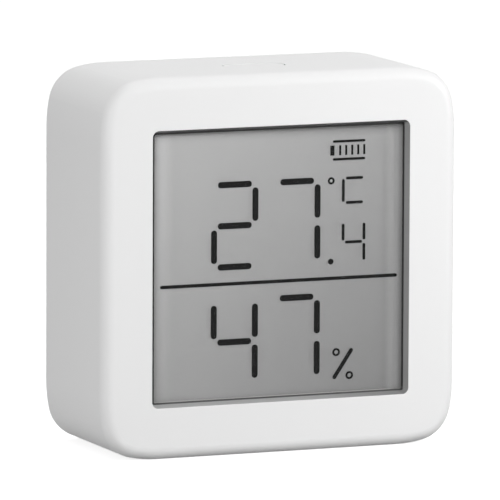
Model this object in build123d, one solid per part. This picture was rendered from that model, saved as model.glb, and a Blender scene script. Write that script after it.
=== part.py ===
from build123d import *
import os
from math import atan2, cos, degrees, dist, pi, radians, sin, sqrt, tan

# Desktop temperature and humidity meter. Millimetres, X right, Y from the front to the back, Z up.
# The origin is on the surface that it stands on, under the middle of the case.

# Case
body_height = 55.0
side_wall = 2.2
front_wall = 1.6
corner_lead_radius = 20.0
corner_core_radius = 5.6
corner_lead_angle = 12.0
front_edge_radius = 1.7
rear_edge_radius = 1.8
fit_gap = 0.15
overrun = 1.0
corner_turn = 90.0

# Window in the front wall
face_margin = 7.5
window_wall = 1.05
window_draft_angle = 23.0
window_corner_radius = 1.0
foot_corner_radius = 0.25
window_edge_radius = 0.12

# Display, from the front to the back
gasket_thickness = 0.15
gasket_show = 0.22
polariser_thickness = 0.15
glass_thickness = 0.4
cell_gap = 0.06
reflector_thickness = 0.2
holder_depth = 3.19
glass_border = 1.49
film_border = 0.5
ledge_depth = 2.4
seal_width = 0.8
seal_inset = 0.3
pocket_gap = 0.2
holder_rim = 2.0
glass_corner_radius = 0.3

# Segments of the display: line widths, and places and lengths as shares of the view, from its middle
bar_width = 0.91
small_bar_width = 0.42
divider_width = 0.5
degree_ring_radius = 0.38
percent_ring_radius = 0.44
ring_line = 0.3
ring_drop = 0.15
point_radius = 0.42
percent_inset = 0.42
percent_bar_width = 0.58
battery_mark_line = 0.36
battery_mark_bars = 5
battery_bar_width = 0.3
battery_nub_width = 0.64
battery_nub_reach = 0.4
battery_first_bar = 1.14
digit_left_share = -0.2532
digit_width_share = 0.1652
digit_pitch_share = 0.2503
digit_half_height_share = 0.1536
upper_row_share = 0.1453
lower_row_share = -0.2899
bar_length_share = 0.1354
bar_upright_share = 0.125
small_left_share = 0.2664
small_width_share = 0.0848
small_row_share = 0.0621
small_half_height_share = 0.0763
small_bar_length_share = 0.0687
small_bar_upright_share = 0.063
unit_top_share = 0.3026
unit_height_share = 0.0918
unit_upright_share = 0.085
point_offset_share = 0.0548
percent_left_share = 0.2304
percent_right_share = 0.3059
percent_low_share = -0.451
percent_high_share = -0.3396
battery_mark_left_share = 0.2232
battery_mark_right_share = 0.3541
battery_mark_low_share = 0.3747
battery_mark_high_share = 0.4417
battery_bar_height_share = 0.0372
divider_height_share = -0.0716
divider_left_share = -0.4681
divider_right_share = 0.4862

# Rubber connector between the display and the board
connector_height = 1.6
connector_inset = 3.3
pad_thickness = 0.05
pad_width = 0.6
pad_pitch = 1.2

# Circuit board and what is soldered to it
board_thickness = 1.0
board_gap = 0.3
component_room = 3.6
radio_size = 5.0
radio_height = 0.85
radio_across_share = 0.22
radio_up_share = 0.2
driver_size = 7.0
driver_height = 1.0
driver_across_share = -0.18
driver_up_share = -0.16
driver_pins = 12
driver_pin_width = 0.22
driver_pin_reach = 1.0
driver_pin_pitch = 0.5
driver_pin_thickness = 0.2
crystal_length = 3.2
crystal_width = 1.5
crystal_height = 0.8
crystal_step = 3.6
chip_length = 1.0
chip_width = 0.5
chip_height = 0.5
chip_pitch = 1.8
chips_in_row = 8
chip_rows_up_share = 0.08
chip_rows_step = 2.2
antenna_line = 0.5
antenna_pitch = 1.1
antenna_turns = 6
antenna_height = 3.4
antenna_thickness = 0.05
antenna_side = 14.0
antenna_edge = 1.6

# Humidity sensor and the way that air takes to it
sensor_size = 2.5
sensor_height = 0.9
sensor_port_radius = 0.5
sensor_port_depth = 0.3
sensor_up = 3.2
vent_count = 9
vent_width = 1.2
vent_pitch = 2.4
vent_margin = 0.3
mesh_thickness = 0.3
mesh_gap = 0.1
duct_wall = 1.0
duct_height = 6.4

# Screws that hold the board and the tray
screw_radius = 1.0
screw_fit = 0.03
screw_clearance = 0.15
screw_bite = 3.0
screw_head_radius = 1.8
screw_head_height = 1.3
screw_head_round = 0.5
screw_socket_width = 0.5
screw_socket_length = 1.9
screw_socket_depth = 0.7
screw_up = 16.0

# Battery cells of size AAA, lying across the case one above the other
cell_length = 44.5
cell_radius = 5.25
cell_shoulder = 0.5
cell_nub_radius = 1.9
cell_nub_length = 1.2
cell_sleeve_thickness = 0.15
cell_sleeve_short = 0.6
cell_space = 0.4
cell_side_gap = 0.25
cell_floor_gap = 0.2
cell_cover_gap = 0.3

# Battery tray and its contacts
tray_floor = 1.2
tray_wall = 1.2
cradle_height = 1.6
contact_thickness = 0.3
contact_width = 8.0
contact_short = 1.2
contact_leg_width = 2.0
contact_slot_gap = 0.1
clip_size = 0.7
spring_length = 2.8
spring_wire = 0.5
spring_base_radius = 3.3
spring_tip_radius = 1.9
spring_quarter_turns = 10
spring_end_gap = 0.03
spring_samples = 40

# Push key in the top wall and the switch that it works
key_length = 9.6
key_width = 4.4
key_gap = 0.16
key_sunk = 0.02
key_travel = 0.3
key_edge_radius = 0.08
key_place = 10.8
key_flange = 0.5
key_flange_thickness = 0.8
key_tongue_border = 0.3
key_stop_gap = 0.05
key_post_length = 0.9
key_post_width = 3.0
key_post_thickness = 1.4
key_notch_gap = 0.3
switch_width = 6.0
switch_height = 3.5
switch_board_gap = 0.2
stem_width = 2.6
stem_thickness = 1.3
stem_height = 0.9
stem_gap = 0.02
stem_shoulder = 0.3
stem_shoulder_height = 0.7
stem_lid = 0.5
stem_play = 0.06
dome_thickness = 0.1

# Rear cover
cover_thickness = 1.6
cover_edge_radius = 0.3
cover_finger_width = 6.0
cover_finger_thickness = 1.0
cover_finger_length = 3.0
cover_finger_across = 15.0
cover_finger_gap = 0.1
pry_width = 11.0
pry_depth = 1.1
pry_round = 0.5
magnet_radius = 3.0
magnet_thickness = 2.0
magnet_pitch = 16.0
magnet_gap = 0.1
magnet_cup_wall = 0.6

# Case width: the two walls and the tray's ends, with a cell, its spring and its contacts between
bay_width = cell_length + spring_length + 2 * contact_thickness
body_width = bay_width + 2 * (tray_wall + fit_gap + side_wall)
window_width = body_width - 2 * face_margin
window_height = body_height - 2 * face_margin
foot_inset = window_wall * tan(radians(window_draft_angle))
view_width = window_width - 2 * (foot_inset + gasket_show)
view_height = window_height - 2 * (foot_inset + gasket_show)

# Segments
digit_left = digit_left_share * view_width
digit_width = digit_width_share * view_width
digit_pitch = digit_pitch_share * view_width
bar_length = bar_length_share * view_width
small_left = small_left_share * view_width
small_width = small_width_share * view_width
small_bar_length = small_bar_length_share * view_width
point_offset = point_offset_share * view_width
percent_left = percent_left_share * view_width
percent_right = percent_right_share * view_width
battery_mark_left = battery_mark_left_share * view_width
battery_mark_right = battery_mark_right_share * view_width
divider_left = divider_left_share * view_width
divider_right = divider_right_share * view_width
digit_half_height = digit_half_height_share * view_height
upper_row = upper_row_share * view_height
lower_row = lower_row_share * view_height
bar_upright = bar_upright_share * view_height
small_row = small_row_share * view_height
small_half_height = small_half_height_share * view_height
small_bar_upright = small_bar_upright_share * view_height
unit_top = unit_top_share * view_height
unit_height = unit_height_share * view_height
unit_upright = unit_upright_share * view_height
percent_low = percent_low_share * view_height
percent_high = percent_high_share * view_height
battery_mark_low = battery_mark_low_share * view_height
battery_mark_high = battery_mark_high_share * view_height
battery_bar_height = battery_bar_height_share * view_height
divider_height = divider_height_share * view_height

# Case depth: what lies between the front face and the back of the rear cover
stack_thickness = (
    gasket_thickness + polariser_thickness + 2 * glass_thickness + cell_gap + reflector_thickness
)
bay_depth = cell_floor_gap + 2 * cell_radius + cell_cover_gap
body_depth = (
    window_wall + stack_thickness + holder_depth + board_thickness
    + component_room + tray_floor + bay_depth + cover_thickness
)
front_face = -body_depth / 2
rear_face = body_depth / 2
gasket_front = front_face + window_wall
polariser_front = gasket_front + gasket_thickness
glass_front = polariser_front + polariser_thickness
segment_front = glass_front + glass_thickness
rear_glass_front = segment_front + cell_gap
reflector_front = rear_glass_front + glass_thickness
holder_front = reflector_front + reflector_thickness
board_front = holder_front + holder_depth
board_back = board_front + board_thickness
tray_front = board_back + component_room
bay_floor = tray_front + tray_floor
cover_front = rear_face - cover_thickness
middle = body_height / 2

# Display glass, and the channel beside it that holds the screw bosses
glass_half_width = view_width / 2 + glass_border
glass_half_height = view_height / 2 + glass_border
ledge_low = -glass_half_height - ledge_depth + pocket_gap * 2
rear_glass_low = -glass_half_height + pocket_gap * 2
cavity_half_width = body_width / 2 - side_wall
boss_radius = (cavity_half_width - glass_half_width - pocket_gap) / 2
screw_across = cavity_half_width - boss_radius
screw_places = [(across, up) for across in (-screw_across, screw_across) for up in (-screw_up, screw_up)]

# Cells
cell_offset = cell_radius + cell_space / 2
cell_place = bay_floor + cell_floor_gap + cell_radius
bay_half_height = cell_offset + cell_radius + cell_side_gap
contact_half_width = bay_width / 2 - contact_thickness

# Magnets, in the room between the battery bay and the case
bay_outer = bay_half_height + tray_wall
cavity_half_height = middle - side_wall
magnet_up = (bay_outer + cavity_half_height) / 2
magnet_places = [(side * magnet_pitch / 2, up) for side in (-1, 1) for up in (-magnet_up, magnet_up)]

# Key and switch
key_middle = front_face + key_place
key_top = body_height - key_sunk
flange_top = body_height - side_wall - key_stop_gap
post_bottom = flange_top - key_flange_thickness - key_post_length
switch_depth = component_room - switch_board_gap
switch_place = board_back + switch_depth / 2
stem_top = post_bottom - stem_gap
switch_top = stem_top - stem_height

# Circuit board
board_width = body_width - 2 * (side_wall + board_gap)
board_height = body_height - 2 * (side_wall + board_gap)
radio_across = radio_across_share * board_width
radio_up = radio_up_share * board_height
driver_across = driver_across_share * board_width
driver_up = driver_up_share * board_height
chip_rows_up = chip_rows_up_share * board_height
antenna_left = board_width / 2 - antenna_side

# Air duct round the sensor
vent_span = (vent_count - 1) * vent_pitch + vent_width
duct_half_width = vent_span / 2 + vent_margin + duct_wall
duct_low = -middle + side_wall + fit_gap + mesh_thickness
sensor_place = -board_height / 2 + sensor_up


def front_view(place):
    """Plane of the front view at a place in the depth: X right, Y up, centred on the case."""
    return Plane(origin=(0, place, middle), x_dir=(1, 0, 0), z_dir=(0, -1, 0))


def slab(profile, front, back):
    """Solid of a front-view profile between two places in the depth."""
    return extrude(front_view(back) * profile, amount=back - front)


def rounded_outline(inset):
    """Front-view outline of the case, drawn in all round by inset: each corner is three arcs."""
    lead = corner_lead_radius - inset
    core = corner_core_radius - inset
    angle = radians(corner_lead_angle)
    reach = lead * sin(angle) + core * (cos(angle) - sin(angle)) + lead * (1 - cos(angle))
    across = body_width - 2 * (inset + reach)
    upright = body_height - 2 * (inset + reach)
    core_turn = corner_turn - 2 * corner_lead_angle
    place = Vector(-across / 2, body_height / 2 - inset)
    heading = Vector(1, 0)
    edges = []
    for run in (across, upright, across, upright):
        edges.append(Line(place, place + heading * run))
        place = place + heading * run
        for radius, turn in ((lead, corner_lead_angle), (core, core_turn), (lead, corner_lead_angle)):
            arc = JernArc(start=place, tangent=heading, radius=radius, arc_size=-turn)
            edges.append(arc)
            place, heading = arc @ 1, arc % 1
    return make_face(edges)


def block(left, right, low, high):
    """Front-view rectangle between two places across and two places up from the middle."""
    return Pos((left + right) / 2, (low + high) / 2) * Rectangle(right - left, high - low)


def bar(start, end, width):
    """Front-view bar with round ends between its two tips."""
    length = dist(start, end)
    angle = degrees(atan2(end[1] - start[1], end[0] - start[0]))
    centre = ((start[0] + end[0]) / 2, (start[1] + end[1]) / 2)
    return Pos(*centre) * Rot(0, 0, angle) * SlotOverall(length, width)


def at_screws(profile):
    """Copies of a front-view profile at the four screws."""
    return [Pos(*place) * profile for place in screw_places]


def make_window_cut():
    """Window opening that narrows towards the display."""
    outer = RectangleRounded(window_width, window_height, window_corner_radius)
    foot = RectangleRounded(
        window_width - 2 * foot_inset, window_height - 2 * foot_inset, foot_corner_radius
    )
    return loft([front_view(front_face) * outer, front_view(gasket_front) * foot])


def make_front_housing():
    """Case: front wall and side walls in one moulding, open at the back."""
    shell = slab(rounded_outline(0), front_face, rear_face)
    shell = fillet(shell.faces().sort_by(Axis.Y)[0].edges(), front_edge_radius)
    shell = fillet(shell.faces().sort_by(Axis.Y)[-1].edges(), rear_edge_radius)
    shell -= slab(rounded_outline(side_wall), front_face + front_wall, rear_face + overrun)
    shell -= make_window_cut()
    window_edges = [
        edge for edge in shell.edges().group_by(Axis.Y)[0]
        if abs(edge.center().X) < window_width / 2 + window_edge_radius
        and abs(edge.center().Z - middle) < window_height / 2 + window_edge_radius
    ]
    shell = fillet(window_edges, window_edge_radius)
    pocket = block(
        -glass_half_width - pocket_gap, glass_half_width + pocket_gap,
        ledge_low - pocket_gap, glass_half_height + pocket_gap,
    )
    shell -= slab(pocket, gasket_front, front_face + front_wall + overrun)
    for across, up in screw_places:
        outward = 1 if across > 0 else -1
        web = Pos(across + outward * boss_radius, up) * Rectangle(2 * boss_radius, 2 * boss_radius)
        boss = Pos(across, up) * Circle(boss_radius) + web
        shell += slab(boss, front_face + front_wall, board_front)
    for pilot in at_screws(Circle(screw_radius + screw_fit)):
        shell -= slab(pilot, board_front - screw_bite - screw_clearance, board_front + overrun)
    key_hole = Pos(0, key_middle) * SlotOverall(key_length, key_width)
    shell -= extrude(Plane.XY.offset(body_height - side_wall - overrun) * key_hole, side_wall + 2 * overrun)
    vent_middle = (board_back + tray_front) / 2
    vent = Rot(0, 0, corner_turn) * SlotOverall(component_room - 2 * vent_margin, vent_width)
    for index in range(vent_count):
        across = (index - (vent_count - 1) / 2) * vent_pitch
        opening = Plane.XY.offset(-overrun) * Pos(across, vent_middle) * vent
        shell -= extrude(opening, side_wall + 2 * overrun)
    shell -= make_pry_notch()
    return shell


def make_pry_notch():
    """Hollow for a fingernail where the rear cover meets the bottom wall."""
    notch = Box(pry_width, 2 * pry_depth, 2 * side_wall)
    notch = fillet(notch.edges().filter_by(Axis.Z), pry_round)
    return Pos(0, rear_face, side_wall / 2) * notch


def make_display_gasket():
    """Black foam frame between the window's foot and the display."""
    outer = block(-glass_half_width, glass_half_width, ledge_low, glass_half_height)
    inner = RectangleRounded(view_width, view_height, foot_corner_radius)
    return slab(outer - inner, gasket_front, polariser_front)


def make_front_polariser():
    """Front polarising film of the display."""
    film = Rectangle(view_width + 2 * film_border, view_height + 2 * film_border)
    return slab(film, polariser_front, glass_front)


def make_front_glass():
    """Front glass of the display, with the contact ledge along its foot."""
    glass = block(-glass_half_width, glass_half_width, ledge_low, glass_half_height)
    return slab(fillet(glass.vertices(), glass_corner_radius), glass_front, segment_front)


def make_edge_seal():
    """Glue seal that joins the two glasses round their edge."""
    outer = block(
        -glass_half_width + seal_inset, glass_half_width - seal_inset,
        rear_glass_low + seal_inset, glass_half_height - seal_inset,
    )
    inner = block(
        -glass_half_width + seal_inset + seal_width, glass_half_width - seal_inset - seal_width,
        rear_glass_low + seal_inset + seal_width, glass_half_height - seal_inset - seal_width,
    )
    return slab(outer - inner, segment_front, rear_glass_front)


def digit_bars(lit, left, row, width, half_height, length, upright, line):
    """Lit bars of one seven-bar digit: its left column, its middle bar's height and its sizes."""
    across = left + width / 2
    middles = {
        "top": (across, row + half_height),
        "middle": (across, row),
        "bottom": (across, row - half_height),
        "upper_left": (left, row + half_height / 2),
        "upper_right": (left + width, row + half_height / 2),
        "lower_left": (left, row - half_height / 2),
        "lower_right": (left + width, row - half_height / 2),
    }
    bars = []
    for name in lit:
        x, y = middles[name]
        if name in ("top", "middle", "bottom"):
            bars.append(bar((x - length / 2, y), (x + length / 2, y), line))
        else:
            bars.append(bar((x, y - upright / 2), (x, y + upright / 2), line))
    return bars


def big_digit(lit, column, row):
    """One large digit in the first or second column of a row."""
    left = digit_left + column * digit_pitch
    return digit_bars(
        lit, left, row, digit_width, digit_half_height, bar_length, bar_upright, bar_width
    )


def ring(across, up, radius):
    """Small open ring, as in a degree or percent sign."""
    return Pos(across, up) * (Circle(radius + ring_line / 2) - Circle(radius - ring_line / 2))


def unit_marks():
    """Degree ring, letter C and decimal point beside the upper digits."""
    point_across = digit_left + digit_pitch + digit_width + point_offset
    small_right = small_left + small_width
    bar_end = small_right - small_bar_width / 2
    low = unit_top - unit_height
    return [
        ring(point_across, upper_row + digit_half_height - ring_drop, degree_ring_radius),
        Pos(point_across, upper_row - digit_half_height) * Circle(point_radius),
        bar((bar_end - small_bar_length, unit_top), (bar_end, unit_top), small_bar_width),
        bar((bar_end - small_bar_length, low), (bar_end, low), small_bar_width),
        bar(
            (small_left, unit_top - unit_height / 2 - unit_upright / 2),
            (small_left, unit_top - unit_height / 2 + unit_upright / 2), small_bar_width,
        ),
    ]


def percent_marks():
    """Percent sign beside the lower digits: a slanted bar and two rings."""
    return [
        bar((percent_left, percent_low), (percent_right, percent_high), percent_bar_width),
        ring(percent_left + percent_inset, percent_high - percent_inset, percent_ring_radius),
        ring(percent_right - percent_inset, percent_low + percent_inset, percent_ring_radius),
    ]


def battery_marks():
    """Battery sign: two rails, a nub at the left and five level bars."""
    centre = (battery_mark_low + battery_mark_high) / 2
    nub_left = battery_mark_left - battery_nub_reach
    marks = [
        bar((battery_mark_left, up), (battery_mark_right, up), battery_mark_line)
        for up in (battery_mark_low, battery_mark_high)
    ]
    marks.append(block(
        nub_left, nub_left + battery_nub_width,
        centre - battery_bar_height / 2, centre + battery_bar_height / 2,
    ))
    first = battery_mark_left + battery_first_bar
    step = (battery_mark_right - battery_bar_width / 2 - first) / (battery_mark_bars - 1)
    for index in range(battery_mark_bars):
        across = first + index * step
        marks.append(block(
            across - battery_bar_width / 2, across + battery_bar_width / 2,
            centre - battery_bar_height / 2, centre + battery_bar_height / 2,
        ))
    return marks


def make_segments():
    """Lit segments in the gap between the two glasses."""
    marks = big_digit(("top", "upper_right", "middle", "lower_left", "bottom"), 0, upper_row)
    marks += big_digit(("top", "upper_right", "lower_right"), 1, upper_row)
    marks += big_digit(("upper_left", "upper_right", "middle", "lower_right"), 0, lower_row)
    marks += big_digit(("top", "upper_right", "lower_right"), 1, lower_row)
    marks += digit_bars(
        ("upper_left", "upper_right", "middle", "lower_right"), small_left, small_row, small_width,
        small_half_height, small_bar_length, small_bar_upright, small_bar_width,
    )
    marks += unit_marks() + percent_marks() + battery_marks()
    marks.append(bar((divider_left, divider_height), (divider_right, divider_height), divider_width))
    return Compound(children=[slab(mark, segment_front, rear_glass_front).solid() for mark in marks])


def make_rear_glass():
    """Rear glass of the display."""
    glass = block(-glass_half_width, glass_half_width, rear_glass_low, glass_half_height)
    return slab(fillet(glass.vertices(), glass_corner_radius), rear_glass_front, reflector_front)


def make_rear_reflector():
    """Grey reflecting film behind the rear glass."""
    film = Rectangle(view_width + 2 * film_border, view_height + 2 * film_border)
    return slab(film, reflector_front, holder_front)


def connector_middle():
    """Height of the rubber connector: the middle of the display's contact ledge."""
    return (ledge_low + rear_glass_low) / 2


def make_display_holder():
    """Moulded frame that presses the display forward off the board and keeps the connector upright."""
    low = ledge_low - holder_rim / 2
    frame = block(-glass_half_width, glass_half_width, low, glass_half_height)
    frame = fillet(frame.vertices(), window_corner_radius)
    inside = block(
        -glass_half_width + holder_rim, glass_half_width - holder_rim,
        rear_glass_low + holder_rim, glass_half_height - holder_rim,
    )
    slot = Pos(0, connector_middle()) * Rectangle(
        2 * (glass_half_width - connector_inset + fit_gap), connector_height + 2 * fit_gap
    )
    return slab(frame - fillet(inside.vertices(), window_corner_radius) - slot, holder_front, board_front)


def make_connector():
    """Rubber connector strip from the glass ledge to the board's pads."""
    strip = Pos(0, connector_middle()) * Rectangle(
        2 * (glass_half_width - connector_inset), connector_height
    )
    return slab(strip, segment_front, board_front - pad_thickness)


def make_display_pads():
    """Row of gold pads on the board under the rubber connector."""
    row = 2 * (glass_half_width - connector_inset) - pad_pitch
    count = int(row // pad_pitch)
    pads = []
    for index in range(count):
        across = (index - (count - 1) / 2) * pad_pitch
        pad = Pos(across, connector_middle()) * Rectangle(pad_width, connector_height)
        pads.append(slab(pad, board_front - pad_thickness, board_front).solid())
    return Compound(children=pads)


def make_main_board():
    """Circuit board with the four screw holes."""
    board = slab(rounded_outline(side_wall + board_gap), board_front, board_back)
    for hole in at_screws(Circle(screw_radius + screw_clearance)):
        board -= slab(hole, board_front - overrun, board_back + overrun)
    return board


def on_board(profile, height):
    """Solid standing on the back of the board."""
    return slab(profile, board_back, board_back + height).solid()


def make_radio_chip():
    """Square chip with the processor and radio."""
    chip = on_board(Pos(radio_across, radio_up) * Rectangle(radio_size, radio_size), radio_height)
    return chip


def make_driver_chip():
    """Display driver chip with two rows of pins."""
    side = driver_size / 2
    solids = [on_board(Pos(driver_across, driver_up) * Rectangle(driver_size, driver_size), driver_height)]
    for index in range(driver_pins):
        up = driver_up + (index - (driver_pins - 1) / 2) * driver_pin_pitch
        for outward in (-1, 1):
            across = driver_across + outward * (side + driver_pin_reach / 2)
            pin = Pos(across, up) * Rectangle(driver_pin_reach, driver_pin_width)
            solids.append(on_board(pin, driver_pin_thickness))
    return Compound(children=solids)


def make_crystals():
    """Two timing crystals beside the radio chip."""
    low = radio_up - radio_size / 2 - crystal_width
    lid = Rectangle(crystal_length, crystal_width)
    return Compound(children=[
        on_board(Pos(radio_across + side * crystal_step / 2, low) * lid, crystal_height)
        for side in (-1, 1)
    ])


def make_chip_components():
    """Two rows of small resistors and capacitors."""
    solids = []
    for row in range(2):
        up = chip_rows_up + row * chip_rows_step
        for index in range(chips_in_row):
            across = driver_across + (index - (chips_in_row - 1) / 2) * chip_pitch
            solids.append(on_board(Pos(across, up) * Rectangle(chip_length, chip_width), chip_height))
    return Compound(children=solids)


def make_antenna():
    """Folded copper antenna line near the board's top edge."""
    top = board_height / 2 - antenna_edge
    track = block(antenna_left, antenna_left + antenna_line, top - 2 * antenna_height, top)
    for index in range(antenna_turns):
        left = antenna_left + index * antenna_pitch
        right = left + antenna_pitch
        up = top if index % 2 == 0 else top - antenna_height + antenna_line
        track += block(left, right + antenna_line, up - antenna_line, up)
        track += block(right, right + antenna_line, top - antenna_height, top)
    return on_board(track, antenna_thickness)


def make_humidity_sensor():
    """Sensor chip with the port that takes in air."""
    centre = Pos(0, sensor_place)
    chip = on_board(centre * Rectangle(sensor_size, sensor_size), sensor_height)
    top = board_back + sensor_height
    return chip - slab(centre * Circle(sensor_port_radius), top - sensor_port_depth, top + overrun)


def make_sensor_gasket():
    """Foam wall that parts the sensor's air duct from the warm electronics."""
    high = duct_low + duct_height
    outer = block(-duct_half_width, duct_half_width, duct_low, high)
    inner = block(
        -duct_half_width + duct_wall, duct_half_width - duct_wall, duct_low - overrun, high - duct_wall
    )
    return slab(outer - inner, board_back, tray_front)


def make_vent_mesh():
    """Dust mesh over the inside of the air slots."""
    width = vent_span + 2 * vent_margin
    depth = component_room - 2 * mesh_gap
    sheet = Pos(0, (board_back + tray_front) / 2) * Rectangle(width, depth)
    return extrude(Plane.XY.offset(side_wall) * sheet, mesh_thickness)


def upright_block(width, depth, low, high):
    """Upright block of the switch and key, over the switch's middle."""
    return Pos(0, switch_place, (low + high) / 2) * Box(width, depth, high - low)


def make_switch_base():
    """Body of the side-pressed switch, with the chamber that its stem slides in."""
    low = switch_top - switch_height
    floor = switch_top - stem_lid - stem_shoulder_height - key_travel - stem_play - dome_thickness
    base = upright_block(switch_width, switch_depth, low, switch_top)
    chamber_width = stem_width + 2 * (stem_shoulder + stem_play)
    chamber_depth = stem_thickness + 2 * (stem_shoulder + stem_play)
    base -= upright_block(chamber_width, chamber_depth, floor, switch_top - stem_lid)
    base -= upright_block(
        stem_width + 2 * stem_play, stem_thickness + 2 * stem_play, floor, switch_top + overrun
    )
    return base


def make_switch_stem():
    """Stem of the switch, with the shoulder that keeps it in."""
    shoulder_top = switch_top - stem_lid
    shoulder = upright_block(
        stem_width + 2 * stem_shoulder, stem_thickness + 2 * stem_shoulder,
        shoulder_top - stem_shoulder_height, shoulder_top,
    )
    return shoulder + upright_block(stem_width, stem_thickness, shoulder_top, stem_top)


def make_switch_dome():
    """Thin click disc under the stem, drawn at the height that it is pressed to."""
    low = switch_top - stem_lid - stem_shoulder_height - key_travel - stem_play - dome_thickness
    disc = Plane.XY.offset(low) * Pos(0, switch_place) * Circle(stem_thickness / 2 + stem_shoulder)
    return extrude(disc, dome_thickness)


def make_push_key():
    """Oblong key, level with the case's top, with its flange and the tongue and post over the switch."""
    head = Pos(0, key_middle) * SlotOverall(key_length - 2 * key_gap, key_width - 2 * key_gap)
    key = extrude(Plane.XY.offset(flange_top) * head, key_top - flange_top)
    key = fillet(key.faces().sort_by(Axis.Z)[-1].edges(), key_edge_radius)
    rim = Pos(0, key_middle) * SlotOverall(key_length + 2 * key_flange, key_width + 2 * key_flange)
    key += extrude(Plane.XY.offset(flange_top - key_flange_thickness) * rim, key_flange_thickness)
    tongue_front = switch_place - key_post_thickness / 2 - key_tongue_border
    tongue = Pos(0, (tongue_front + key_middle) / 2) * Rectangle(
        key_post_width + 2 * key_tongue_border, key_middle - tongue_front
    )
    key += extrude(Plane.XY.offset(flange_top - key_flange_thickness) * tongue, key_flange_thickness)
    key += upright_block(key_post_width, key_post_thickness, post_bottom, flange_top)
    return key


def contact_leg(side, centre):
    """Leg of a contact from the bay's floor through the tray to the board."""
    left, right = sorted((side * bay_width / 2, side * contact_half_width))
    leg = block(left, right, centre - contact_leg_width / 2, centre + contact_leg_width / 2)
    return slab(leg, board_back, bay_floor)


def make_battery_tray():
    """Tray over the board: its floor, the walls of the battery bay and the posts that hold the board."""
    tray = slab(rounded_outline(side_wall + fit_gap), tray_front, bay_floor)
    outer = Rectangle(bay_width + 2 * tray_wall, 2 * bay_outer)
    tray += slab(outer - Rectangle(bay_width, 2 * bay_half_height), bay_floor, cover_front)
    cradle = Rectangle(cell_length / 2, 2 * cell_space)
    tray += slab(cradle, bay_floor, bay_floor + cradle_height)
    for post in at_screws(Circle(boss_radius - fit_gap)):
        tray += slab(post, board_back, tray_front)
    for hole in at_screws(Circle(screw_radius + screw_clearance)):
        tray -= slab(hole, board_back - overrun, bay_floor + overrun)
    slot_half = contact_leg_width / 2 + contact_slot_gap
    for centre in (cell_offset, -cell_offset):
        slot = block(
            -bay_width / 2, -contact_half_width + contact_slot_gap, centre - slot_half, centre + slot_half
        )
        tray -= slab(slot, tray_front - overrun, bay_floor)
    notch_width = key_length + 2 * (key_flange + key_notch_gap)
    notch_low = flange_top - key_flange_thickness - key_travel - key_notch_gap
    notch_back = key_middle + key_width / 2 + key_flange + key_notch_gap
    notch = Box(notch_width, notch_back - tray_front + overrun, body_height - notch_low)
    notch_place = (notch_back + tray_front - overrun) / 2
    return tray - Pos(0, notch_place, (body_height + notch_low) / 2) * notch


def contact_plate(side, low, high):
    """Flat contact against one end of the bay."""
    left, right = sorted((side * bay_width / 2, side * contact_half_width))
    plate = block(left, right, low, high)
    return slab(plate, bay_floor, cover_front - contact_short)


def spring_clip(side, centre):
    """Small ear on a contact that grips the first turn of its spring."""
    inner = side * (contact_half_width - clip_size)
    left, right = sorted((side * contact_half_width, inner))
    low = centre + spring_wire + spring_end_gap
    ear = block(left, right, low, low + clip_size)
    place = cell_place + spring_base_radius
    return slab(ear, place - clip_size / 2, place + clip_size / 2)


def make_negative_contact():
    """Contact of the upper cell's spring, at the left end, with its leg to the board."""
    plate = contact_plate(-1, cell_offset - contact_width / 2, cell_offset + contact_width / 2)
    return plate + contact_leg(-1, cell_offset) + spring_clip(-1, cell_offset)


def make_positive_contact():
    """Contact of the lower cell's nub, at the left end, with its leg to the board."""
    plate = contact_plate(-1, -cell_offset - contact_width / 2, -cell_offset + contact_width / 2)
    return plate + contact_leg(-1, -cell_offset)


def make_link_contact():
    """Contact that joins the two cells at the right end."""
    plate = contact_plate(1, -cell_offset - contact_width / 2, cell_offset + contact_width / 2)
    return plate + spring_clip(1, -cell_offset)


def helix_frame(side, centre, index, advance, radius_step):
    """Point and direction of a cone spring's centre line after a number of quarter turns."""
    angle = pi / 2 * (index + 1)
    radius = spring_base_radius + radius_step * index
    start = contact_half_width - spring_wire / 2 - spring_end_gap
    across = side * (start - advance * index)
    point = Vector(
        across, cell_place + radius * sin(angle), middle + centre + radius * cos(angle)
    )
    outward = Vector(0, sin(angle), cos(angle))
    around = Vector(0, cos(angle), -sin(angle))
    direction = around * (radius * pi / 2) + outward * radius_step + Vector(-side * advance, 0, 0)
    return point, direction.normalized()


def biarc(start, start_direction, end, end_direction):
    """Two arcs that join smoothly between two points with given directions."""
    chord = end - start
    both = start_direction + end_direction
    spread = 2 * (1 - start_direction.dot(end_direction))
    reach = (sqrt(chord.dot(both) ** 2 + spread * chord.dot(chord)) - chord.dot(both)) / spread
    joint = (start + end + (start_direction - end_direction) * reach) / 2
    turn = (end - end_direction * reach) - (start + start_direction * reach)
    return [TangentArc(start, joint, tangent=start_direction), TangentArc(joint, end, tangent=turn)]


def make_contact_spring(name, side, centre):
    """Cone spring behind a cell's flat end: one wire with straight ends."""
    steps = spring_quarter_turns
    advance = (spring_length - spring_wire - 2 * spring_end_gap) / steps
    radius_step = (spring_tip_radius - spring_base_radius) / steps
    frames = [helix_frame(side, centre, index, advance, radius_step) for index in range(steps + 1)]
    first, first_direction = frames[0]
    last, last_direction = frames[-1]
    edges = [Line(first - first_direction * spring_wire, first)]
    for (start, start_direction), (end, end_direction) in zip(frames, frames[1:]):
        edges += biarc(start, start_direction, end, end_direction)
    edges.append(Line(last, last + last_direction * spring_wire))
    path = Wire(edges)
    section = Plane(origin=path @ 0, z_dir=path % 0) * Circle(spring_wire / 2)
    spring = sweep(section, path=path)
    report_spring(name, path, spring)
    return spring


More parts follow.
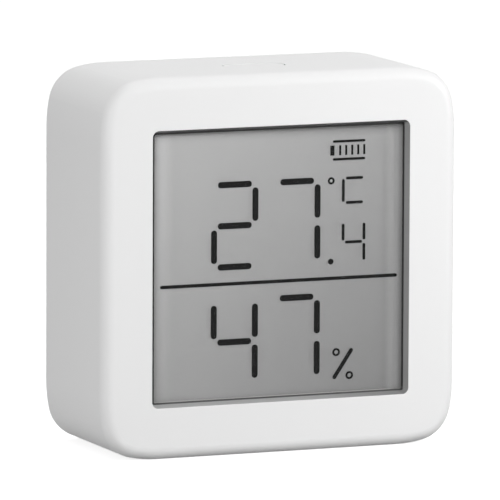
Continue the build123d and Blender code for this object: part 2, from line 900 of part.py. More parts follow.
def report_spring(name, path, spring):
    """Prints a spring's volume beside its section times its length, and its least gap to itself."""
    samples = spring_samples * spring_quarter_turns
    points = [path @ (index / samples) for index in range(samples + 1)]
    apart = 2 * spring_samples
    least = min(
        (points[i] - points[j]).length
        for i in range(len(points)) for j in range(i + apart, len(points))
    )
    expected = pi * (spring_wire / 2) ** 2 * path.length
    print(f"{name}: volume {spring.volume:.4f}, section times length {expected:.4f}, "
          f"least gap {least - spring_wire:.3f}")


def make_cell(flip, centre):
    """Metal can of a cell with its nub; flip is 1 when the nub is at the right."""
    length = cell_length - cell_nub_length
    can = extrude(Plane.YZ * Circle(cell_radius - cell_sleeve_thickness), length)
    can = fillet(can.edges(), cell_shoulder)
    nub_foot = Plane.YZ.offset(length - cell_shoulder) * Circle(cell_nub_radius)
    nub = extrude(nub_foot, cell_nub_length + cell_shoulder)
    cell = can + fillet(nub.faces().sort_by(Axis.X)[-1].edges(), cell_shoulder)
    return place_cell(cell, flip, centre)


def make_cell_sleeve(flip, centre):
    """Printed sleeve shrunk round a cell's can."""
    length = cell_length - cell_nub_length - 2 * cell_sleeve_short
    wall = Circle(cell_radius) - Circle(cell_radius - cell_sleeve_thickness)
    sleeve = extrude(Plane.YZ.offset(cell_sleeve_short) * wall, length)
    return place_cell(sleeve, flip, centre)


def place_cell(solid, flip, centre):
    """Moves a cell drawn along X to its place in the bay."""
    start = -bay_width / 2 + contact_thickness + spring_length
    moved = Pos(start, cell_place, middle + centre) * solid
    if flip > 0:
        return moved
    return Pos(-start, cell_place, middle + centre) * Rot(0, 0, 2 * corner_turn) * solid


def make_chassis_screws():
    """Four screws through the tray and the board into the case's bosses."""
    tip = board_front - screw_bite
    shank = Circle(screw_radius)
    head_back = bay_floor + screw_head_height
    solids = []
    for place in screw_places:
        head = slab(Pos(*place) * Circle(screw_head_radius), bay_floor, head_back)
        head = fillet(head.faces().sort_by(Axis.Y)[-1].edges(), screw_head_round)
        cross = Rectangle(screw_socket_length, screw_socket_width)
        cross = cross + Rectangle(screw_socket_width, screw_socket_length)
        head -= slab(Pos(*place) * cross, head_back - screw_socket_depth, head_back + overrun)
        solids.append((head + slab(Pos(*place) * shank, tip, bay_floor)).solid())
    return Compound(children=solids)


def make_rear_cover():
    """Clip-on rear cover with its four fingers and a cup for each magnet."""
    cover = slab(rounded_outline(side_wall + fit_gap), cover_front, rear_face)
    cover = fillet(cover.faces().sort_by(Axis.Y)[-1].edges(), cover_edge_radius)
    finger_up = cavity_half_height - cover_finger_gap - fit_gap - cover_finger_thickness / 2
    for across in (-cover_finger_across, cover_finger_across):
        for up in (-finger_up, finger_up):
            finger = Pos(across, up) * Rectangle(cover_finger_width, cover_finger_thickness)
            cover += slab(finger, cover_front - cover_finger_length, cover_front)
    cup_radius = magnet_radius + magnet_gap
    cup = Circle(cup_radius + magnet_cup_wall) - Circle(cup_radius)
    for place in magnet_places:
        cover += slab(Pos(*place) * cup, cover_front - magnet_thickness, cover_front)
    return cover - make_pry_notch()


def make_magnets():
    """Four disc magnets in the rear cover's cups."""
    return Compound(children=[
        slab(Pos(*place) * Circle(magnet_radius), cover_front - magnet_thickness, cover_front).solid()
        for place in magnet_places
    ])


pieces = {
    "front_housing": make_front_housing(),
    "display_gasket": make_display_gasket(),
    "front_polariser": make_front_polariser(),
    "display_front_glass": make_front_glass(),
    "display_edge_seal": make_edge_seal(),
    "display_segments": make_segments(),
    "display_rear_glass": make_rear_glass(),
    "rear_reflector": make_rear_reflector(),
    "display_holder": make_display_holder(),
    "rubber_connector": make_connector(),
    "display_pads": make_display_pads(),
    "main_board": make_main_board(),
    "radio_chip": make_radio_chip(),
    "display_driver_chip": make_driver_chip(),
    "timing_crystals": make_crystals(),
    "chip_components": make_chip_components(),
    "antenna_track": make_antenna(),
    "humidity_sensor": make_humidity_sensor(),
    "sensor_gasket": make_sensor_gasket(),
    "vent_mesh": make_vent_mesh(),
    "switch_base": make_switch_base(),
    "switch_stem": make_switch_stem(),
    "switch_dome": make_switch_dome(),
    "push_key": make_push_key(),
    "battery_tray": make_battery_tray(),
    "contact_negative": make_negative_contact(),
    "contact_positive": make_positive_contact(),
    "contact_link": make_link_contact(),
    "contact_spring_upper": make_contact_spring("upper spring", -1, cell_offset),
    "contact_spring_lower": make_contact_spring("lower spring", 1, -cell_offset),
    "battery_cell_upper": make_cell(1, cell_offset),
    "battery_cell_lower": make_cell(-1, -cell_offset),
    "cell_sleeve_upper": make_cell_sleeve(1, cell_offset),
    "cell_sleeve_lower": make_cell_sleeve(-1, -cell_offset),
    "chassis_screws": make_chassis_screws(),
    "rear_cover": make_rear_cover(),
    "cover_magnets": make_magnets(),
}

os.makedirs("parts", exist_ok=True)
for name, shape in pieces.items():
    export_step(shape, f"parts/{name}.step")
print(f"case {body_width:.2f} x {body_depth:.2f} x {body_height:.2f}")
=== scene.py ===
import math

import bmesh
import bpy
from mathutils import Matrix, Vector


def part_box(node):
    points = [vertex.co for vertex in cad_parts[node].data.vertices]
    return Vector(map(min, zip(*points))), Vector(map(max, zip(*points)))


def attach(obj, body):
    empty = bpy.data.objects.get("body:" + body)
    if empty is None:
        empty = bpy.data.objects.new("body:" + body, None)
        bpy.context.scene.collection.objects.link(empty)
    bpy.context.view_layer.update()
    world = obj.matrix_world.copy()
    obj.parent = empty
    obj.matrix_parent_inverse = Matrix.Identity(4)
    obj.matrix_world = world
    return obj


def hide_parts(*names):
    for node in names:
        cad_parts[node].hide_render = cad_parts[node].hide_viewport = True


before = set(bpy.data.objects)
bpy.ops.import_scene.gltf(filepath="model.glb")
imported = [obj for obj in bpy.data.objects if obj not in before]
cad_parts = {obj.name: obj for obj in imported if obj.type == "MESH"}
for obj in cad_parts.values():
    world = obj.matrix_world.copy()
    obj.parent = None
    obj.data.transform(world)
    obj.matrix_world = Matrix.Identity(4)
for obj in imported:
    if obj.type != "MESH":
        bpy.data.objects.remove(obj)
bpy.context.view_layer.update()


# Camera: a long lens a little to the left of the front and a little above the meter, so that its
# left side and its top just show. The whole camera is rolled by a quarter of a degree.
mm = 0.001
camera_aim = Vector((0.05 * mm, 0, 27.95 * mm))
camera_turn = math.radians(-22.6456)
camera_rise = math.radians(7.8911)
camera_roll = math.radians(0.2641)
camera_distance = 1.2
sensor_width = 36
focal_length = 596.8

backward = Vector((
    math.sin(camera_turn) * math.cos(camera_rise),
    -math.cos(camera_turn) * math.cos(camera_rise),
    math.sin(camera_rise),
))
rightward = Vector((math.cos(camera_turn), math.sin(camera_turn), 0))
upward = backward.cross(rightward)
rolled_right = rightward * math.cos(camera_roll) + upward * math.sin(camera_roll)
rolled_up = upward * math.cos(camera_roll) - rightward * math.sin(camera_roll)
camera_axes = Matrix((rolled_right, rolled_up, backward)).transposed().to_4x4()

camera = bpy.data.objects.new("camera", bpy.data.cameras.new("camera"))
bpy.context.scene.collection.objects.link(camera)
camera.data.sensor_width = sensor_width
camera.data.lens = focal_length
camera.matrix_world = Matrix.Translation(camera_aim + backward * camera_distance) @ camera_axes
bpy.context.scene.camera = camera
bpy.context.scene.view_settings.view_transform = "Standard"


# Table and room: a plain table top in a plain room, with five large soft lamps. The camera sees
# both as white, but they throw less light than that on the meter, so that its sides stay darker.
class Value:
    """Number or vector in a shader that takes part in Python sums."""

    def __init__(self, finish, socket):
        self.finish = finish
        self.socket = socket

    def math(self, operation, first, second=0.0):
        return self.finish.node("ShaderNodeMath", {"operation": operation}, {0: first, 1: second})

    def __add__(self, other):
        return self.math("ADD", self, other)

    def __radd__(self, other):
        return self.math("ADD", other, self)

    def __sub__(self, other):
        return self.math("SUBTRACT", self, other)

    def __rsub__(self, other):
        return self.math("SUBTRACT", other, self)

    def __mul__(self, other):
        return self.math("MULTIPLY", self, other)

    def __rmul__(self, other):
        return self.math("MULTIPLY", other, self)

    def __truediv__(self, other):
        return self.math("DIVIDE", self, other)

    def __mod__(self, other):
        return self.math("FLOORED_MODULO", self, other)

    def __abs__(self):
        return self.math("ABSOLUTE", self)

    def __lt__(self, other):
        return self.math("LESS_THAN", self, other)

    def __gt__(self, other):
        return self.math("GREATER_THAN", self, other)

    def or_more(self, other):
        return self.math("MAXIMUM", self, other)

    def rise(self, low, high):
        """Smooth step from 0 at low to 1 at high."""
        settings = {"interpolation_type": "SMOOTHSTEP"}
        return self.finish.node("ShaderNodeMapRange", settings, {0: self, 1: low, 2: high})


class Finish:
    """Node tree of one finish, with the surface shader that it starts with."""

    def __init__(self, owner):
        owner.use_nodes = True
        self.owner = owner
        self.tree = owner.node_tree
        self.surface = self.tree.nodes.get("Principled BSDF")

    def node(self, kind, settings=None, inputs=None, output=0):
        """Adds a node: its settings first, then its inputs; gives one output."""
        added = self.tree.nodes.new(kind)
        for name, value in (settings or {}).items():
            setattr(added, name, value)
        for name, value in (inputs or {}).items():
            self.feed(added.inputs[name], value)
        return Value(self, added.outputs[output])

    def feed(self, socket, value):
        if isinstance(value, Value):
            self.tree.links.new(value.socket, socket)
        else:
            socket.default_value = value

    def set(self, **values):
        """Values or links of the surface shader's sockets."""
        for name, value in values.items():
            self.feed(self.surface.inputs[name.replace("_", " ").title()], value)

    def place(self, axis, kind="Object"):
        """X, Y or Z of the shaded point in the meter's own frame, or of another kind of place."""
        point = self.node("ShaderNodeTexCoord", output=kind)
        return self.node("ShaderNodeSeparateXYZ", inputs={0: point}, output=axis)

    def noise(self, per_mm, detail=2.0):
        """Cloudy noise between 0 and 1 with a number of lumps per millimetre."""
        point = self.node("ShaderNodeTexCoord", output="Object")
        inputs = {"Vector": point, "Scale": per_mm / mm, "Detail": detail}
        return self.node("ShaderNodeTexNoise", inputs=inputs)

    def mix(self, share, first, second):
        """Colour between two colours, which are the node's inputs 6 and 7."""
        inputs = {0: share, 6: first, 7: second}
        return self.node("ShaderNodeMix", {"data_type": "RGBA"}, inputs, output=2)

    def emboss(self, height, depth_mm):
        """Feeds the surface's normal with a relief of that height."""
        inputs = {"Height": height, "Distance": depth_mm * mm, "Strength": 1.0}
        self.set(Normal=self.node("ShaderNodeBump", inputs=inputs))

    def tint(self, where, colour):
        """Another base colour where a mask is 1."""
        plain = Value(self, self.surface.inputs["Base Color"].links[0].from_socket)
        self.set(base_color=self.mix(where, plain, colour))


def grey(level, warmth=0.0):
    """Neutral colour of a level, a little warmer or cooler by its red and blue."""
    return (level + warmth, level, level - warmth, 1.0)


def seen_directly(finish):
    """1 where a camera, mirror or glass ray arrives, 0 for the light on the meter."""
    direct = finish.node("ShaderNodeLightPath", output="Is Camera Ray")
    mirrored = finish.node("ShaderNodeLightPath", output="Is Glossy Ray")
    through_glass = finish.node("ShaderNodeLightPath", output="Is Transmission Ray")
    return direct.or_more(mirrored).or_more(through_glass)


full_white = grey(1.0)
table_half = 3.0
table_glow = 0.75
table_for_camera = grey(0.8)
table_for_light = grey(0.15)

table_mesh = bpy.data.meshes.new("table_top")
table_corners = [
    (-table_half, -table_half, 0), (table_half, -table_half, 0),
    (table_half, table_half, 0), (-table_half, table_half, 0),
]
table_mesh.from_pydata(table_corners, [], [(0, 1, 2, 3)])
table = bpy.data.objects.new("table_top", table_mesh)
bpy.context.scene.collection.objects.link(table)

table_finish = Finish(bpy.data.materials.new("white_table"))
lit_table = table_finish.node("ShaderNodeBsdfDiffuse", inputs={"Color": table_for_light})
pale_table = table_finish.node("ShaderNodeBsdfDiffuse", inputs={"Color": table_for_camera})
glow = table_finish.node("ShaderNodeEmission", inputs={"Color": full_white, "Strength": table_glow})
white_table = table_finish.node("ShaderNodeAddShader", inputs={0: pale_table, 1: glow})
table_both = table_finish.node("ShaderNodeMixShader", inputs={
    0: seen_directly(table_finish), 1: lit_table, 2: white_table,
})
table_finish.feed(table_finish.tree.nodes["Material Output"].inputs["Surface"], table_both)
table_mesh.materials.append(table_finish.owner)

room_walls = 0.225
room_ceiling = 0.0
world = bpy.data.worlds.new("white_room")
bpy.context.scene.world = world
room = Finish(world)
steepness = room.place("Z", "Generated").or_more(0.0)
room_level = room_walls + steepness * (room_ceiling - room_walls)
room_light = room.node("ShaderNodeBackground", inputs={"Color": full_white, "Strength": room_level})
room_white = room.node("ShaderNodeBackground", inputs={"Color": full_white, "Strength": 1.0})
room_both = room.node("ShaderNodeMixShader", inputs={
    0: seen_directly(room), 1: room_light, 2: room_white,
})
room.feed(room.tree.nodes["World Output"].inputs["Surface"], room_both)


def hang_lamp(name, place, width, watts):
    """Square soft lamp that faces the meter."""
    panel = bpy.data.lights.new(name, "AREA")
    panel.size = width
    panel.energy = watts
    lamp = bpy.data.objects.new(name, panel)
    lamp.location = place
    lamp.rotation_euler = (camera_aim - Vector(place)).to_track_quat("-Z", "Y").to_euler()
    bpy.context.scene.collection.objects.link(lamp)


hang_lamp("right_lamp", place=(0.22, -0.20, 0.12), width=0.14, watts=0.66)
hang_lamp("front_left_lamp", place=(-0.30, -0.42, 0.14), width=0.30, watts=0.65)
hang_lamp("left_lamp", place=(-0.46, -0.30, 0.12), width=0.25, watts=1.06)
hang_lamp("top_lamp", place=(0.0, 0.16, 0.53), width=0.40, watts=1.0)
hang_lamp("rear_lamp", place=(0.25, 0.70, 0.55), width=0.50, watts=0.9)


# Case, key and cover: white moulded plastic with a fine satin grain. Front and side walls are one
# moulding; the walls of its window are painted with shade, darkest at the top. The key sits in a
# slot in the top wall, and the rear cover clips in from behind.
def wear(finish, *nodes):
    """Gives carried-over pieces a finish."""
    for node in nodes:
        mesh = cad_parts[node].data
        mesh.materials.clear()
        mesh.materials.append(finish.owner)


def uneven(middle, pattern, swing):
    """Value that a pattern between 0 and 1 moves by half the swing to either side."""
    return middle + (pattern - 0.5) * swing


def moulded(name, colour, roughness, grain_per_mm, grain_depth, drift=0.012):
    """Moulded plastic: a fine grain from the tool and a slight drift of its shade."""
    finish = Finish(bpy.data.materials.new(name))
    shade = finish.noise(per_mm=0.06, detail=3.0)
    darker = tuple(part * (1 - drift) for part in colour[:3]) + (1.0,)
    grain = finish.noise(grain_per_mm)
    finish.set(
        base_color=finish.mix(shade, darker, colour),
        roughness=uneven(roughness, grain, swing=0.12),
    )
    finish.emboss(grain, grain_depth)
    return finish


def case_white(name):
    """White plastic of the case, the key and the cover."""
    return moulded(name, grey(0.905), roughness=0.5, grain_per_mm=6.0, grain_depth=0.006)


wear(case_white("case_plastic"), "push_key", "rear_cover")

case_middle = 27.5 * mm
window_half = 20.0 * mm
window_rim = -11.94 * mm
window_foot = -10.9 * mm
# Painted shade on the window's walls: mid grey at the left and foot, darker at the right, nearly
# black at the top.
left_wall_painted_shade = grey(0.44)
right_wall_painted_shade = grey(0.28)
top_wall_painted_shade = grey(0.08)
right_wall_share = 0.98
top_wall_share = 0.96

housing_plastic_and_painted_shade = case_white("housing_plastic_and_painted_shade")
depth = housing_plastic_and_painted_shade.place("Y")
rightness = housing_plastic_and_painted_shade.place("X") / window_half
upness = (housing_plastic_and_painted_shade.place("Z") - case_middle) / window_half
within_window = (abs(rightness) < 1.0) * (abs(upness) < 1.0)
shaded_window_walls = within_window * (depth > window_rim) * (depth < window_foot)
turned_right = rightness.rise(0.0, right_wall_share)
wall_painted_shade = housing_plastic_and_painted_shade.mix(turned_right, left_wall_painted_shade, right_wall_painted_shade)
at_top = (upness > top_wall_share) * (upness > rightness)
housing_plastic_and_painted_shade.tint(shaded_window_walls, housing_plastic_and_painted_shade.mix(at_top, wall_painted_shade, top_wall_painted_shade))
wear(housing_plastic_and_painted_shade, "front_housing")


# Display: two thin glasses with a glue seal between them, lit segments in the gap, a matt polarising
# film in front and a grey reflecting film behind, in a black foam frame at the window's foot. The
# rear glass stands a hair off its neighbours, and nothing over the reflecting film shades it. The
# reflecting film's grey is painted with light and shade: paler at the upper left and by its sides.
# Painted light: the black foam frame is paler along the window's foot, where light falls on it.
foam_foot_share = 0.95
foam_foot_painted_light = grey(0.07)
gasket_foam = moulded(
    "gasket_foam", grey(0.012), roughness=0.85, grain_per_mm=5.0, grain_depth=0.03, drift=0.3
)
at_foot = gasket_foam.place("Z") < case_middle - window_half * foam_foot_share
gasket_foam.tint(at_foot, foam_foot_painted_light)
wear(gasket_foam, "display_gasket")


def clear_sheet(name, tint, alpha, roughness):
    """Clear sheet: mostly see-through, with a slight haze and sheen."""
    finish = Finish(bpy.data.materials.new(name))
    haze = finish.noise(per_mm=0.9)
    finish.set(
        base_color=tint,
        roughness=uneven(roughness, haze, swing=0.06),
        alpha=uneven(alpha, haze, swing=alpha * 0.1),
    )
    return finish


def join_rings(form, rings):
    """Faces between closed rings of points that follow one another."""
    for before, behind in zip(rings, rings[1:]):
        for index in range(len(before)):
            after = (index + 1) % len(before)
            form.faces.new((before[index], before[after], behind[after], behind[index]))


def make_piece(name, form, finish):
    """Object from a finished form."""
    mesh = bpy.data.meshes.new(name)
    form.to_mesh(mesh)
    form.free()
    mesh.materials.append(finish.owner)
    piece = bpy.data.objects.new(name, mesh)
    bpy.context.scene.collection.objects.link(piece)
    return piece


def lay_glass(name, node, finish):
    """Glass with ground edges whose two faces stand a hair off the pieces that they touch."""
    low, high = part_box(node)
    chamfer = 0.05 * mm
    hair = 0.01 * mm
    front, back = low.y + hair, high.y - hair
    slab = bmesh.new()
    rings = []
    for inset, depth in (
        (chamfer, front), (0, front + chamfer), (0, back - chamfer), (chamfer, back),
    ):
        left, right, foot, top = low.x + inset, high.x - inset, low.z + inset, high.z - inset
        corners = ((left, foot), (right, foot), (right, top), (left, top))
        rings.append([slab.verts.new((x, depth, z)) for x, z in corners])
    join_rings(slab, rings)
    slab.faces.new(rings[0])
    slab.faces.new(rings[-1])
    bmesh.ops.recalc_face_normals(slab, faces=slab.faces)
    piece = make_piece(name, slab, finish)
    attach(piece, "case")
    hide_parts(node)
    return piece


polariser_film = clear_sheet("polariser_film", grey(0.1), alpha=0.05, roughness=0.34)
wear(polariser_film, "front_polariser")
display_glass = clear_sheet("display_glass", grey(0.12), alpha=0.015, roughness=0.08)
wear(display_glass, "display_front_glass")
rear_glass = lay_glass("ground_rear_glass", "display_rear_glass", display_glass)
for clear in (
    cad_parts["front_polariser"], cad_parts["display_front_glass"], rear_glass,
):
    clear.visible_shadow = False
    clear.visible_diffuse = False

seal_glue = moulded(
    "seal_glue", grey(0.5, 0.01), roughness=0.35, grain_per_mm=1.5, grain_depth=0.01
)
wear(seal_glue, "display_edge_seal")

segment_black = moulded(
    "segment_black", grey(0.012), roughness=0.5, grain_per_mm=4.0, grain_depth=0.002, drift=0.2
)
segment_black.surface.inputs["Specular IOR Level"].default_value = 0.0
wear(segment_black, "display_segments")
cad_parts["display_segments"].visible_shadow = False

view_half = 19.335 * mm
film_shaded_end = grey(0.272)
film_lit_end = grey(0.61)
film_painted_light = grey(0.9)
film_painted_shade = grey(0.02)
painted_slope_right = -0.249
painted_slope_up = 0.216

reflector_film = Finish(bpy.data.materials.new("reflector_film"))
rightness = reflector_film.place("X") / view_half
upness = (reflector_film.place("Z") - case_middle) / view_half


def painted_edge_light(inward, starts, full, gone, strength, gain_up):
    """Painted light: a paler band beside an edge of the view, which changes in strength from foot to
    top.
    """
    band = (1 - inward.rise(0.0, gone)) * inward.rise(starts, full)
    return band * (strength + upness * gain_up)


def edge_shade(inward, gone, strength):
    """Painted shade: a darker band that fades inward from an edge of the view."""
    return (1 - inward.rise(0.0, gone)) * strength


# Painted light and shade on the film: lighter towards the upper left, paler bands by the left and
# right edges, darker bands along the top and the foot.
painted_light_slope = 0.5 + rightness * painted_slope_right + upness * painted_slope_up
left_painted_light = painted_edge_light(
    1 + rightness, starts=0.02, full=0.07, gone=0.2, strength=0.68, gain_up=0.36
)
right_painted_light = painted_edge_light(
    1 - rightness, starts=-0.03, full=0.03, gone=0.132, strength=0.88, gain_up=0.14
)
top_shade = edge_shade(1 - upness, gone=0.1, strength=0.2 + rightness * 0.12)
foot_shade = edge_shade(1 + upness, gone=0.04, strength=0.12)
film = reflector_film.mix(painted_light_slope, film_shaded_end, film_lit_end)
film = reflector_film.mix(left_painted_light + right_painted_light, film, film_painted_light)
film = reflector_film.mix(top_shade + foot_shade, film, film_painted_shade)
speckle = reflector_film.noise(per_mm=9.0)
reflector_film.set(base_color=film, roughness=uneven(0.5, speckle, swing=0.1))
reflector_film.emboss(speckle, depth_mm=0.004)
wear(reflector_film, "rear_reflector")


# Display's holder and its rubber connector: the white frame presses the display forward off the
# board, and the layered strip beside it carries the display's signals down to a row of gold pads.
holder_plastic = moulded(
    "holder_plastic", grey(0.78, 0.01), roughness=0.5, grain_per_mm=5.0, grain_depth=0.006
)
wear(holder_plastic, "display_holder")

layer_pitch = 0.2 * mm
layer_share = 0.5
silicone_pink = (0.62, 0.28, 0.27, 1)
layer_black = grey(0.04)
connector_rubber = Finish(bpy.data.materials.new("connector_rubber"))
layers = (connector_rubber.place("X") % layer_pitch) / layer_pitch < layer_share
connector_rubber.set(
    base_color=connector_rubber.mix(layers, silicone_pink, layer_black),
    roughness=0.7 + layers * 0.1,
)
connector_rubber.emboss(connector_rubber.noise(per_mm=5.0), depth_mm=0.01)
wear(connector_rubber, "rubber_connector")


def plated(name, colour, roughness):
    """Plated metal with a slightly uneven polish."""
    finish = Finish(bpy.data.materials.new(name))
    dulled = 0.86
    polish = finish.noise(per_mm=3.0, detail=3.0)
    dull = tuple(part * dulled for part in colour[:3]) + (1.0,)
    finish.set(
        metallic=1.0,
        base_color=finish.mix(polish, dull, colour),
        roughness=uneven(roughness, polish, swing=0.16),
    )
    finish.emboss(polish, depth_mm=0.003)
    return finish


pad_gold = plated("pad_gold", (0.86, 0.66, 0.32, 1), roughness=0.28)
wear(pad_gold, "display_pads")


# Circuit board: glass-fibre board under green lacquer, with copper tracks below the lacquer and a
# folded antenna track near its top edge. The chips are soldered on its back.
def stripes(position, pitch, half_share):
    """1 on stripes that take up twice that share of their pitch, 0 between them."""
    return abs((position % pitch) / pitch - 0.5) < half_share


track_pitch = 1.27 * mm
track_half_share = 0.13
lacquer_dark = (0.02, 0.15, 0.06, 1)
lacquer_pale = (0.03, 0.19, 0.08, 1)
lacquer_on_track = (0.05, 0.27, 0.12, 1)
board_green = Finish(bpy.data.materials.new("board_green"))
lane = board_green.noise(per_mm=0.12, detail=0.0) > 0.5
run_across = stripes(board_green.place("Z"), track_pitch, track_half_share)
run_upright = stripes(board_green.place("X"), track_pitch, track_half_share)
tracks = run_across * lane + run_upright * (1 - lane)
weave = board_green.noise(per_mm=2.2, detail=1.0)
lacquer = board_green.mix(weave, lacquer_dark, lacquer_pale)
board_green.set(
    base_color=board_green.mix(tracks, lacquer, lacquer_on_track),
    roughness=0.3 + weave * 0.1,
)
board_green.emboss(tracks, depth_mm=0.02)
wear(board_green, "main_board")

track_copper = plated("track_copper", (0.78, 0.46, 0.28, 1), roughness=0.35)
wear(track_copper, "antenna_track")

chip_grey = grey(0.03)
chip_black = moulded(
    "chip_black", chip_grey, roughness=0.55, grain_per_mm=8.0, grain_depth=0.008, drift=0.25
)
wear(chip_black, "radio_chip", "humidity_sensor")

driver_body_half = 3.5 * mm
pin_metal = grey(0.75)
driver_low, driver_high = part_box("display_driver_chip")
driver_middle = (driver_low.x + driver_high.x) / 2
driver_chip = Finish(bpy.data.materials.new("driver_chip"))
pins = abs(driver_chip.place("X") - driver_middle) > driver_body_half
grain = driver_chip.noise(per_mm=8.0)
driver_chip.set(
    base_color=driver_chip.mix(pins, chip_grey, pin_metal),
    metallic=pins,
    roughness=uneven(0.55 - pins * 0.2, grain, swing=0.1),
)
driver_chip.emboss(grain, depth_mm=0.006)
wear(driver_chip, "display_driver_chip")

crystal_metal = plated("crystal_metal", grey(0.74), roughness=0.3)
wear(crystal_metal, "timing_crystals")

chip_half = 0.5 * mm
chip_pitch = 1.8 * mm
cap_length = 0.22 * mm
fired_dark = (0.36, 0.27, 0.19, 1)
fired_pale = (0.5, 0.39, 0.28, 1)
cap_metal = grey(0.78)
chips_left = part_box("chip_components")[0].x
chip_ceramic = Finish(bpy.data.materials.new("chip_ceramic"))
along_chip = (chip_ceramic.place("X") - chips_left) % chip_pitch
caps = abs(along_chip - chip_half) > chip_half - cap_length
fired = chip_ceramic.noise(per_mm=4.0)
chip_bodies = chip_ceramic.mix(fired, fired_dark, fired_pale)
chip_ceramic.set(
    base_color=chip_ceramic.mix(caps, chip_bodies, cap_metal),
    metallic=caps,
    roughness=0.5 - caps * 0.2,
)
chip_ceramic.emboss(fired, depth_mm=0.006)
wear(chip_ceramic, "chip_components")


# Air duct: a dark foam wall round the humidity sensor and a fine woven dust mesh over the nine
# slots, so that room air reaches the sensor and the warmth of the board doesn't.
duct_foam = moulded(
    "duct_foam", grey(0.07), roughness=0.9, grain_per_mm=3.0, grain_depth=0.08, drift=0.3
)
wear(duct_foam, "sensor_gasket")

thread_pitch = 0.25 * mm
thread_half_share = 0.27
thread_grey = grey(0.12)
gap_black = grey(0.01)
mesh_fabric = Finish(bpy.data.materials.new("mesh_fabric"))
warp = stripes(mesh_fabric.place("X"), thread_pitch, thread_half_share)
weft = stripes(mesh_fabric.place("Y"), thread_pitch, thread_half_share)
threads = warp.or_more(weft)
mesh_fabric.set(
    base_color=mesh_fabric.mix(threads, gap_black, thread_grey),
    roughness=0.6 + threads * 0.1,
)
mesh_fabric.emboss(threads, depth_mm=0.05)
wear(mesh_fabric, "vent_mesh")


# Switch: a small side-pressed switch on the board's back, with a pale stem over a thin steel disc.
# The push key's post stands on the stem.
switch_black = moulded(
    "switch_black", grey(0.045), roughness=0.5, grain_per_mm=6.0, grain_depth=0.006, drift=0.2
)
wear(switch_black, "switch_base")

stem_plastic = moulded(
    "stem_plastic", (0.76, 0.73, 0.65, 1), roughness=0.45, grain_per_mm=6.0, grain_depth=0.005
)
wear(stem_plastic, "switch_stem")

spring_steel = plated("spring_steel", grey(0.72, 0.006), roughness=0.26)
wear(spring_steel, "switch_dome")


# Battery tray: a white moulding over the board that forms the battery bay, with plus and minus
# signs raised on its floor by the ends of the bay. Four cross-head screws hold it and the board.
tray_plastic = moulded(
    "tray_plastic", grey(0.84, 0.004), roughness=0.5, grain_per_mm=4.0, grain_depth=0.008
)
wear(tray_plastic, "battery_tray")

sign_reach = 1.5 * mm
sign_stroke = 0.5 * mm
sign_rise = 0.35 * mm
sign_sink = 0.05 * mm
sign_bevel = 0.12 * mm
sign_across = 18.0 * mm
sign_up = 14.6 * mm
tray_floor = -0.6 * mm


def mould_stroke(relief, centre, half_across, half_up):
    """One raised stroke of a sign on the tray's floor."""
    size = Vector((2 * half_across, sign_rise + sign_sink, 2 * half_up))
    place = Vector((centre.x, tray_floor + (sign_rise - sign_sink) / 2, centre.z))
    verts = bmesh.ops.create_cube(relief, size=1.0)["verts"]
    bmesh.ops.scale(relief, vec=size, verts=verts)
    bmesh.ops.translate(relief, vec=place, verts=verts)
    edges = list({edge for vert in verts for edge in vert.link_edges})
    bmesh.ops.bevel(
        relief, geom=edges, offset=sign_bevel, segments=3, affect="EDGES", profile=0.5
    )


relief = bmesh.new()
for side, up in ((-1, 1), (1, 1), (-1, -1), (1, -1)):
    centre = Vector((side * sign_across, 0, case_middle + up * sign_up))
    mould_stroke(relief, centre, sign_reach, sign_stroke / 2)
    if side == up:
        mould_stroke(relief, centre, sign_stroke / 2, sign_reach)
signs = make_piece("tray_signs", relief, tray_plastic)
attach(signs, "case")

screw_steel = plated("screw_steel", grey(0.62), roughness=0.3)
wear(screw_steel, "chassis_screws")


# Contacts and springs: nickel-plated spring steel strips pressed into the bay's ends, with a cone
# spring behind the flat end of each cell.
wear(spring_steel, "contact_negative", "contact_positive", "contact_link")
wear(spring_steel, "contact_spring_upper", "contact_spring_lower")


# Battery cells: two AAA cells, each a nickel-plated can in a printed sleeve that is shrunk over its
# shoulders. The sleeves are plain, with a paler band at the nub's end and plus and minus marks.
cell_steel = plated("cell_steel", grey(0.78), roughness=0.24)
wear(cell_steel, "battery_cell_upper", "battery_cell_lower")

band_start = 11.0 * mm
band_line = 0.5 * mm
mark_reach = 1.3 * mm
mark_half = 0.26 * mm
plus_place = 17.5 * mm
minus_place = -16.5 * mm
cell_back = 4.85 * mm
body_inks = ((0.035, 0.055, 0.08, 1), (0.05, 0.075, 0.105, 1))
band_inks = ((0.5, 0.53, 0.56, 1), (0.56, 0.59, 0.62, 1))
dark_ink = (0.03, 0.04, 0.055, 1)
pale_ink = grey(0.8)

sleeve_short = 0.6 * mm
lip_lap = 0.3 * mm
lip_thickness = 0.12 * mm
shoulder_radius = 0.5 * mm
lip_inner = 4.3 * mm
lip_steps = 8
lip_segments = 96


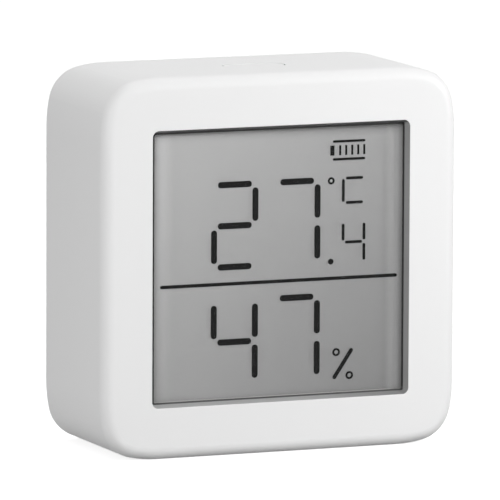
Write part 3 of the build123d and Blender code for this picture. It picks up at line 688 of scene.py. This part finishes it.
def sleeve_finish(name, toward, axis_height):
    """Printed sleeve whose nub lies toward the right (1) or the left (-1)."""
    finish = Finish(bpy.data.materials.new(name))
    along = finish.place("X") * toward
    band = along > band_start
    line = abs(along - band_start) < band_line
    facing = finish.place("Y") > cell_back
    beside = abs(finish.place("Z") - axis_height)
    flat_stroke = (beside < mark_half) * facing
    plus = (abs(along - plus_place) < mark_reach) * flat_stroke
    plus_upright = (abs(along - plus_place) < mark_half) * (beside < mark_reach) * facing
    minus = (abs(along - minus_place) < mark_reach) * flat_stroke
    print_tone = finish.noise(per_mm=1.5)
    body = finish.mix(print_tone, *body_inks)
    colour = finish.mix(band, body, finish.mix(print_tone, *band_inks))
    colour = finish.mix(line, colour, pale_ink)
    colour = finish.mix(plus.or_more(plus_upright), colour, dark_ink)
    colour = finish.mix(minus, colour, pale_ink)
    finish.set(base_color=colour, roughness=0.24 + print_tone * 0.08)
    finish.emboss(finish.noise(per_mm=0.8), depth_mm=0.01)
    return finish


def lip_profile(end, outward, radius):
    """Outline of a folded end, as places along the cell with distances from its axis."""
    can_end = end + outward * sleeve_short
    round_radius = shoulder_radius + lip_thickness
    profile = [(end - outward * lip_lap, radius)]
    for step in range(lip_steps + 1):
        angle = math.pi / 2 * step / lip_steps
        profile.append((
            can_end - outward * shoulder_radius + outward * round_radius * math.sin(angle),
            radius - round_radius + round_radius * math.cos(angle),
        ))
    profile.append((can_end + outward * lip_thickness, lip_inner))
    profile.append((can_end, lip_inner - lip_thickness / 2))
    return profile


def wrap_lips(name, node, finish):
    """Ends of a sleeve, folded over the can's two shoulders."""
    low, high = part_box(node)
    centre = (low + high) / 2
    turns = [2 * math.pi * index / lip_segments for index in range(lip_segments)]
    lips = bmesh.new()
    for end, outward in ((low.x, -1), (high.x, 1)):
        rings = []
        for along, reach in lip_profile(end, outward, (high.z - low.z) / 2):
            rings.append([
                lips.verts.new((
                    along, centre.y + reach * math.cos(turn), centre.z + reach * math.sin(turn),
                ))
                for turn in turns
            ])
        join_rings(lips, rings)
    bmesh.ops.recalc_face_normals(lips, faces=lips.faces)
    for face in lips.faces:
        face.smooth = True
    piece = make_piece(name, lips, finish)
    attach(piece, "case")


for row, toward in (("upper", 1), ("lower", -1)):
    node = "cell_sleeve_" + row
    low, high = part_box(node)
    sleeve = sleeve_finish("cell_label_" + row, toward, (low.z + high.z) / 2)
    wear(sleeve, node)
    wrap_lips("cell_lips_" + row, node, sleeve)


# Magnets: four nickel-plated discs in cups on the inside of the rear cover, which hold the meter
# on a sheet of steel. They come off with the cover.
magnet_nickel = plated("magnet_nickel", grey(0.5, 0.004), roughness=0.26)
wear(magnet_nickel, "cover_magnets")
